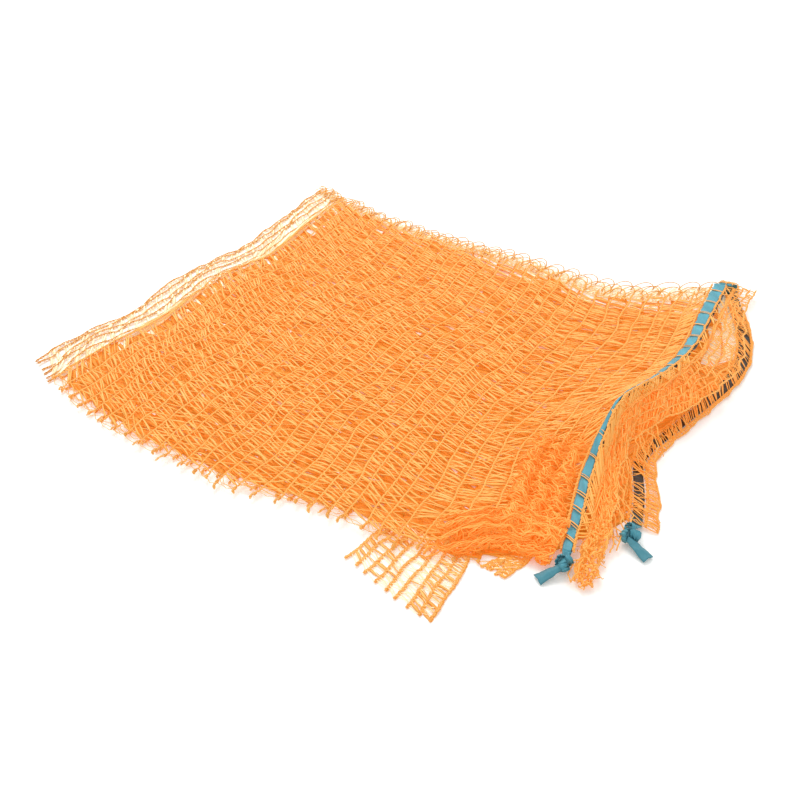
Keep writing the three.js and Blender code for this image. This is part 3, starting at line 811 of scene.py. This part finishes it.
# ---- Flaps ----
# Nine wales of the back layer, drawn close together, stick out past the cut side near the mouth, and a
# smaller flap of six lies beside them. Film zigzags along each chain and thin yarns join them. The small
# flap is filled with laid-in film too.
flap_film = film("flap film yarn", deep=(0.75, 0.27, 0.025), pale=(0.95, 0.58, 0.2),
                 glow=(0.85, 0.28, 0.02), painted_glow_strength=0.28, streaks=0.9)
for node, count, first_lean, last_lean, first_reach, last_reach, widened, trimmed, filled, pitch, finish in (
    ("back_flap", 9, 7.5 * mm, -3 * mm, 13 * mm, 9 * mm, 0, 0, 0.4, 4, flap_film),
    ("small_back_flap", 6, 7 * mm, 6 * mm, 6 * mm, 17 * mm, 6.5 * mm, 7 * mm, 2, 1.1, front_film),
):
    (x_low, y_low, _), (x_high, y_high, _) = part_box(node)
    edge = outline(node, along=0, side=-1, step=(x_high - x_low) / count)
    share = (np.arange(count)[:, None] + 0.5) / count
    up = np.linspace(0, 1, 40)[None, :]
    x = x_low - widened + (x_high - x_low + widened) * share
    y_end = y_high + first_reach + (last_reach - first_reach) * share
    y = np.maximum(edge(x), y_low + trimmed) * (1 - up) + y_end * up
    x = x + (first_lean + (last_lean - first_lean) * share) * up
    x = x + 0.8 * mm * waver(up, 0.9, 2.1 * np.arange(count)[:, None])
    flap_wales = stacked(x, y, 0.7 * mm + sway(0.4, y, 19, np.arange(count)[:, None]))
    sides = np.stack([flap_wales - (mm, 0, 0), flap_wales + (mm, 0, 0)], axis=1)
    zigzag = [laid_in(pair, 3, slant, (0.5, 1.0), 0.5) for pair in sides for slant in (0.9, -0.9)]
    knit = piece_of(node + "_knit", finish, [node], [
        *chain(flap_wales, 2.0, 0.5, 0.5, spread=0.1, pitch=3.1, core=2.4),
        *zigzag,
        laid_in(flap_wales, pitch, 0.1, (1.0, 2.2), 0.4, start=0.08,
                keep=lambda x, y: np.where(x < x_low + filled * (x_high - x_low), 0.95, 0.25)),
        laid_in(flap_wales[-3:], 2.4, 0.3, (0.7, 1.8), 0.5),
    ])
    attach(knit, "bag")
    threads = piece_of(node + "_threads", thin_film, [], [
        laid_in(flap_wales, 1.7, 0.3, (0.3, 0.55), 0.75, thick=0.2, leaf=0),
        laid_in(flap_wales[count // 3:], 2.6, -0.4, (0.3, 0.5), 0.75, thick=0.2, leaf=0),
    ])
    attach(threads, "bag")

# ---- Drawstring ----
# One length of teal film tape, creased along its middle. Its front run lies over the crest of the ruck, its
# back run lies folded on the table under the knit, and it turns back on itself at the far mouth corner.
# The tape's deep end is painted shade: teal tape seen through the orange knit, where it lies in shade.
tape_film = film("teal film tape", deep=(0.045, 0.026, 0.016), pale=(0.1, 0.45, 0.56),
                 streaks=0.4, creases=0.4)


def strip(grid, thickness, tones):
    """A closed strip of film over a grid of points (along, across, 3)."""
    rows, cols, _ = grid.shape
    offset = unit(np.cross(np.gradient(grid, axis=1), np.gradient(grid, axis=0)), 1e-12) * thickness / 2
    points = np.concatenate([(grid + offset).reshape(-1, 3), (grid - offset).reshape(-1, 3)])
    index = np.arange(rows * cols).reshape(rows, cols)
    upper = stacked(index[:-1, :-1], index[:-1, 1:], index[1:, 1:], index[1:, :-1]).reshape(-1, 4)
    lower = upper[:, ::-1] + rows * cols
    rim = np.concatenate([index[0], index[1:, -1], index[-1, -2::-1], index[-2::-1, 0]])
    walls = stacked(rim[1:], rim[:-1], rim[:-1] + rows * cols, rim[1:] + rows * cols)
    spread = np.broadcast_to(np.linspace(0, 1, rows)[:, None], (rows, cols))
    marks = stacked(np.clip(np.broadcast_to(tones, (rows, cols)), 0.01, 0.97), spread)
    return points, np.concatenate([upper, lower, walls]), np.tile(marks.reshape(-1, 2), (2, 1))


tape_rows = 300
tape_thick, folded_thick = 0.25 * mm, 0.3 * mm
tie_pitch = 9.4 * mm  # between the pairs of yarns that cross the front run and pinch it
fold_half, wrap_half = 4.5 * mm, 5.5 * mm  # half the width of the far fold and of the yarns round it
bag_edge = evened(row_line("drawstring_front_run", nearest_bottom), tape_rows)
top_crease = evened(crease, tape_rows)
mouth_edge = evened(row_line("drawstring_front_run", nearest_mouth), tape_rows)
run_length = length_of(top_crease)
up = np.linspace(0, 1, tape_rows)[:, None]
tie_gap = tie_pitch / run_length
tie_count = int(0.67 / tie_gap)  # they lie further apart towards the far corner
stations = np.cumsum(tie_gap * np.linspace(0.9, 2.1, tie_count))
pinch = np.exp(-(((up - stations[None, :] + tie_gap / 8) / (0.16 * tie_gap)) ** 2)).sum(1, keepdims=True)
lit_width = lit_share(top_crease[:, 1:2]) * (1 - 0.06 * pinch)
across = np.linspace(-1, 1, 13)
grid = np.repeat(top_crease[:, None], len(across), axis=1)
for column, q in enumerate(across):
    shaded_half_width = 0.5 * np.clip(up / 0.1, 0.2, 1)
    grid[:, column] += (bag_edge - top_crease) * lit_width * max(-q, 0)
    grid[:, column] += (mouth_edge - top_crease) * shaded_half_width * max(q, 0)
ripple = waver(up * run_length, 13 * mm, 3 * across[None, :])
grid[..., 2] += 0.45 * mm * ripple * (1 - across[None, :] ** 2) - 0.5 * mm * pinch
grid[..., 0] += sway(0.3, up * run_length, 19, 1.0) * np.abs(across)
# The bag-side half is lit; the mouth-side half is painted dark, shade on the far slope of the ruck seen
# through the knit. The tape is also painted darker at each pinch, shade in its creases.
lit_tone = 0.78 + 0.16 * waver(up * run_length, 21 * mm, 2 * across[None, :]) - 0.2 * pinch
tones = np.where(across < 0.1, lit_tone, 0.05)
gathers(piece_of("tape_front_run", tape_film, ["drawstring_front_run"],
                 [strip(grid, tape_thick, tones)]))
front_end_rows = grid

back_line = evened(back_tape, tape_rows)
across = np.linspace(-1, 1, 7)
grid = np.repeat(back_line[:, None], len(across), axis=1)
half_wide = 2.6 + 1.5 * np.clip((back_line[:, 1:2] - 20 * mm) / (60 * mm), 0, 1)  # mm
grid[..., 0] += across * half_wide * mm
grid[..., 2] += sway(0.3, up * run_length, 17, 2 * across[None, :]) + 0.4 * mm
# The back run is painted dark, shade under the knit, paler only where it comes out by the knot.
tones = 0.03 + 0.4 * np.clip(1 - up / 0.03, 0, 1) + 0 * across
gathers(piece_of("tape_back_run", tape_film, ["drawstring_back_run"],
                 [strip(grid, folded_thick, tones)]))
back_end_rows = grid

_, fold_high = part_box("drawstring_far_fold")
turn = np.linspace(0, np.pi, 20)
fold_start, fold_finish = top_crease[-1], back_line[-1]
fold_line = stacked(
    fold_start[0] + (fold_finish[0] - fold_start[0]) * (1 - np.cos(turn)) / 2,
    fold_start[1] + (fold_high[1] - fold_start[1]) * np.sin(turn),
    fold_start[2] + (fold_finish[2] - fold_start[2]) * (1 - np.cos(turn)) / 2,
)
grid = np.repeat(fold_line[:, None], 5, axis=1)
grid[..., 0] += np.linspace(-fold_half, fold_half, 5)
fold = piece_of("tape_far_fold", tape_film, ["drawstring_far_fold"],
                [strip(grid, folded_thick, 0.7)])
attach(fold, "far_corner")
wraps = fold_line[2:18:3, None] + np.linspace(-wrap_half, wrap_half, 7)[:, None] * (1, 0.2, 0)
wraps[:, 1:-1] += (0, 0.5 * mm, 0.5 * mm)
fold_wales = fold_line[None] + np.linspace(-4 * mm, 4 * mm, 3)[:, None, None] * (1, 0, 0)
fold_wales = fold_wales + (0, 0.7 * mm, 0.7 * mm)
fold_yarns = piece_of("far_fold_yarns", front_film, [], [
    ribbon(wraps, random.uniform(0.6 * mm, 1.2 * mm, len(wraps)), 0.35 * mm, 0.6),
    ribbon(fold_wales, 0.8 * mm, 0.5 * mm, 0.6),
])
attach(fold_yarns, "far_corner")

# ---- Tunnels ----
# The tape runs in a lane between two wales of each layer, under the yarns laid in across it: in pairs nearly
# a centimetre apart over the front run, and close together over the back run.


def hangs(x, y):
    """Share of laid-in yarns past the crest: nearly all, but few towards the far corner."""
    return 0.95 - 0.8 * np.clip((y - 0.12 * high[1]) / (0.2 * high[1]), 0, 1)


crest_wale = crest_line + (0.9 * mm, 0, 0.3 * mm)
crest_wale[:, 0] += sway(0.5, crest_line[:, 1], 17, 0.4)
tunnel_mouth_side[:, 0] += sway(0.9, crest_line[:, 1], 23, 2.4)
mouth_side_pair = np.stack([crest_wale, tunnel_mouth_side + (0, 0, 0.4 * mm)])
gathers(piece_of("front_tunnel_knit", front_film,
                 ["front_tunnel_wale_bag_side", "front_tunnel_wale_mouth_side"], [
    *chain(np.stack([tunnel_bag_side, crest_wale, tunnel_mouth_side]), 1.5, 0.5, [0.8, 0.8, 0.7]),
    laid_in(mouth_side_pair, 1.5, 1.9, (0.6, 1.4), 0.7, start=0.06, keep=hangs),
    laid_in(mouth_side_pair, 2.2, -0.6, (0.8, 1.6), 0.4, start=0.03, keep=hangs),
]))
tie_at = np.sort(np.concatenate([stations, stations - tie_gap / 7]))
tie_at += random.normal(0, 0.0015, len(tie_at))
drift = 2 * mm / run_length  # they cross the tape on the slant
over = np.array([0.0, 0.45, 0.8, 1.0])
edge_rows = np.stack([tunnel_bag_side, crest_wale])
tie_low = at_share(edge_rows, 0, tie_at + drift)
tie_high = at_share(edge_rows, 1, tie_at - drift)
ties = tie_low[:, None] * (1 - over[:, None]) + tie_high[:, None] * over[:, None]
ties[:, 1:3, 2] += 0.55 * mm
tie_widths = random.uniform(0.4 * mm, 0.8 * mm, len(ties))
gathers(piece_of("front_tunnel_yarns", front_film, [], [
    ribbon(ties, tie_widths, 0.3 * mm, random.normal(0.75, 0.1, len(ties))),
]))

lane_height, header_height = 1.7 * mm, 0.8 * mm
back_lane = np.stack(back_sides) * (1, 1, 0) + (0, 0, lane_height)
header_edge = evened(row_line("back_header", nearest_mouth), steps) * (1, 1, 0) + (0, 0, header_height)
header_share = np.clip(1.2 - 1.6 * np.linspace(0, 1, steps), 0.12, 1)[:, None]
header_edge = back_lane[1] + (header_edge - back_lane[1]) * header_share
header_edge[:, 0] += sway(0.9, header_edge[:, 1], 21, 0.9)
strays = 44
stray_at = random.uniform(0, 0.38, strays)


def lane_keep(x, y):
    """Share of yarns over the back run, fewest at its two ends, where it shows."""
    return np.where((y < -40 * mm) | (y > 50 * mm), 0.4, 0.9) + 0.2 * waver(y, 37 * mm, 1.1)


header_pair = np.stack([back_lane[1], header_edge])
gathers(piece_of("back_tunnel_knit", front_film,
                 ["back_tunnel_wale_bag_side", "back_tunnel_wale_mouth_side", "back_header"], [
    *chain(back_lane, 1.7, 0.55, [0.45, 0.5]),
    laid_in(back_lane, 1.2, 0.3, (0.4, 1.2), 0.45, bulge=0.5, keep=lane_keep),
    laid_in(header_pair, 1.6, 0.2, (0.6, 1.4), 0.55),
    laid_in(header_pair, 2.6, -0.5, (0.5, 1.2), 0.6, end=0.4, bulge=1.2),
    *chain(header_edge[None], 1.3, 0.5, [0.5]),
    loose(at_share(back_lane, 0, stray_at),
          at_share(header_edge[None], 0, stray_at + random.normal(0, 0.03, strays)),
          random.normal((0, 0, 1.2 * mm), 1.5 * mm, (strays, 3)), 0.6, 0.6, curl=1.3),
]))

# ---- Frill ----
# Past the front run, five more wales hang down from the crest. They crowd together there and fan out towards
# the far corner, where the knit is open. The near end of the frill is frayed.
header_line = evened(row_line("front_header", nearest_bottom), steps)
edge_line = evened(frill_edge, steps)
shares = np.array([0.0, 0.24, 0.45, 0.7, 0.98])[:, None, None]
frill_wales = header_line * (1 - shares) + edge_line * shares
frill_wales[..., 0] += sway(1.5, frill_wales[..., 1], 27, 1.7 * np.arange(5)[:, None])
hollow = 0.8 * mm * np.sin(np.pi * shares[..., 0])
frill_wales[..., 2] += sway(0.7, frill_wales[..., 1], 37, 2.3) - hollow
frill_rows = np.concatenate([tunnel_mouth_side[None], frill_wales])
gathers(piece_of("front_frill", front_film, ["front_header"], [
    *chain(frill_wales, 1.4, 0.5, 0.85, spread=0.08),
    laid_in(frill_rows, 3.6, 1.8, (0.4, 1.0), 0.8, keep=hangs),
    laid_in(frill_rows, 2.6, 0.5, (0.3, 0.5), 0.6, start=0.6, thick=0.2, leaf=0),
]))
gathers(piece_of("frill_cross_yarns", crumpled_film, [], [
    # The lowest lot, deep and in the deeper crumpled film, is painted shade under the hanging frill.
    laid_in(frill_rows - (0, 0, 0.6 * mm), 2.2, 0.7, (2.2, 3.6), 0.15, bulge=-0.5,
            keep=lambda x, y: (hangs(x, y) - 0.2) * np.clip((y - crease[0][1]) / (30 * mm), 0.1, 1)),
    laid_in(frill_rows, 2.2, 1.5, (0.4, 1.2), 0.6, bulge=0.8, keep=hangs),
    laid_in(frill_rows, 3.5, -0.8, (0.4, 1.0), 0.8, bulge=1.2, keep=lambda x, y: hangs(x, y) - 0.3),
]))
edge_strands, end_strands = 46, 30  # loose yarns along the frill's edge and at its near end
fringe_share = np.concatenate([np.linspace(0, 0.34, edge_strands), np.zeros(end_strands)])
count = len(fringe_share)
fringe_row = np.concatenate([np.full(edge_strands, 5), random.integers(0, 6, end_strands)])
begin = at_share(frill_rows, fringe_row, fringe_share)
sideways = random.normal(5 * mm, 3 * mm, count) * (fringe_share > 0)
reach = stacked(sideways, random.uniform(-15 * mm, -3 * mm, count), 0 * fringe_share)
finish_at = begin + reach
finish_at[:, 2] = random.uniform(1 * mm, 4 * mm, count)
gathers(piece_of("frill_fringe", front_film, [], [
    loose(begin, finish_at, random.normal(0, 1.6 * mm, (count, 3)), 0.7, 0.65, curl=1.2),
]))

# ---- Far mouth corner ----
# The ends of both headers lie over each other here, over the fold of the tape.
corner_low, corner_high = np.array(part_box("far_corner_knit"))
count = 4
up = np.linspace(0, 1, 30)[None, :]
side = np.linspace(0, 1, count)[:, None]
x = corner_low[0] - 4 * mm + (corner_high[0] - corner_low[0] + 2 * mm) * (0.8 * side + 0.2 * up)
y = corner_low[1] - 4 * mm + (corner_high[1] - corner_low[1] - 2 * mm * side + 4 * mm) * up
z = corner_high[2] + 0.5 * mm + sway(1, x + y, 16, 1.0)
corner_wales = stacked(x + sway(1, y, 20, 3 * side), y, z)
corner_knit = piece_of("far_corner_yarns", front_film, ["far_corner_knit"], [
    *chain(corner_wales, 1.3, 0.5, 0.6, spread=0.1),
    laid_in(corner_wales, 2.4, 0.3, (0.8, 1.6), 0.6),
])
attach(corner_knit, "far_corner")

# ---- Frayed bunch ----
# The near end of the frill is cut on the slant and hangs as a crumpled strip of five wales.
bunch_low, bunch_high = np.array(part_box("front_header_bunch"))
count = 5
side = np.linspace(0, 1, count)[:, None]
x = bunch_low[0] + (bunch_high[0] - bunch_low[0]) * (0.02 + 0.62 * side) + 2 * mm * (1 - up) - 3 * mm * up
y = bunch_low[1] + 4 * mm * np.abs(side - 0.4) + (bunch_high[1] + 8 * mm - bunch_low[1]) * up
z = 3.2 * mm + sway(1.8, y + 2 * x, 13, 4 * side) + 2 * mm * up
bunch_wales = stacked(x + sway(1.4, y, 11, 3 * side), y, z)
strays = 26
bunch_tips = at_share(bunch_wales, random.integers(0, count, strays), random.uniform(0, 0.5, strays))
bunch = piece_of("front_frill_bunch", front_film, ["front_header_bunch"], [
    *chain(bunch_wales, 1.8, 0.55, 0.6, spread=0.1),
    laid_in(bunch_wales, 1.5, 0.5, (0.6, 1.6), 0.65, bulge=1.6),
    laid_in(bunch_wales, 2.5, -0.6, (0.5, 1.2), 0.75, bulge=1.8),
    loose(bunch_tips, bunch_tips + random.normal((0, -2 * mm, 0), 1.8 * mm, (strays, 3)),
          random.normal(0, 1.0 * mm, (strays, 3)), 0.5, 0.7, curl=0.9),
])
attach(bunch, "bag")

# ---- Knots and tails ----
# Each end of the tape is tied in an overhand knot, pulled tight, and cut off short. The film is crushed into
# pleats in the knot and lies doubled in the tail.
strand_wide, strand_thick, pleat_depth = 4.6 * mm, 1.3 * mm, 0.35 * mm
core_wide, core_thick, tail_thick = 4 * mm, 2.2 * mm, 0.5 * mm
for end, rows, swing, grow, aside in (
    ("front", front_end_rows, -0.5, 1.0, (-5.5 * mm, 3 * mm, 0)),
    ("back", back_end_rows, 0.6, 1.25, (3 * mm, -2.5 * mm, 0)),
):
    knot_low, knot_high = np.array(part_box(end + "_knot"))
    tail_low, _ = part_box(end + "_tail")
    centre, size = (knot_low + knot_high) / 2, (knot_high - knot_low) * (grow, grow, 1)
    centre = centre - (0, (grow - 1) * size[1], 0)

    # The end of the run narrows into the knot.
    into = np.linspace(0, 1, 16)[:, None, None]
    last = rows[0]
    throat = centre + (last - last.mean(0)) * (0.7, 1, 0.6) + (0, 0.3 * size[1], 0.5 * mm)
    neck_grid = last * (1 - into) + throat * into
    neck_grid[..., 2] += 0.5 * mm * np.sin(2.6 * np.arange(len(last))) * np.sin(np.pi * into[..., 0])
    neck = piece_of(end + "_tape_neck", tape_film, [], [strip(neck_grid, folded_thick, 0.75)])
    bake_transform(neck)

    turn = np.linspace(0, 2 * np.pi, 120)
    loop = stacked(np.cos(turn) - 1.5 * np.cos(2 * turn), np.sin(turn) + 1.5 * np.sin(2 * turn),
                   -np.sin(3 * turn)) / (2.5, 2.5, 1.0)
    cosine, sine = math.cos(swing + 0.4), math.sin(swing + 0.4)
    loop = loop @ np.array([[cosine, sine, 0], [-sine, cosine, 0], [0, 0, 1]])
    loop = loop * size * (0.34, 0.34, 0.26) + centre
    outward = unit(loop - centre, 0)[None]
    pleats = pleat_depth * np.sin(turn * 23 + 1.2 * np.sin(5 * turn))
    knot = piece_of(end + "_knot_film", tape_film, [end + "_knot"], [
        ribbon(loop + outward * pleats[None, :, None], strand_wide, strand_thick, 0.7, face=outward),
        ribbon(loop[None] * 0.6 + centre * 0.4, core_wide, core_thick, 0.45, face=outward),
    ])
    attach(knot, end + "_end")

    # The tail leaves the knot on one side and splays a little.
    tail_start = centre + (0, -0.25 * size[1], 0)
    tail_points = node_points(end + "_tail")
    tail_end = tail_points[tail_points[:, 1] < tail_low[1] + 1.5 * mm].mean(0) + aside
    out = np.linspace(0, 1, 24)[:, None]
    across = np.linspace(-1, 1, 7)[None, :]
    sideways = unit(np.cross(unit(tail_end - tail_start, 0), (0, 0, 1.0)), 0)
    half_wide = (1.4 + 1.7 * out ** 0.7) * mm
    tail_line = tail_start * (1 - out) + tail_end * out
    tail_grid = tail_line[:, None] + sideways * (across * half_wide)[..., None]
    tail_grid[..., 2] += 1.1 * mm * (1 - np.abs(across)) + 0.3 * mm * waver(out, 0.5, 2 * across)
    tail = piece_of(end + "_tail_film", tape_film, [end + "_tail"],
                    [strip(tail_grid, tail_thick, 0.6)])
    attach(tail, end + "_end")
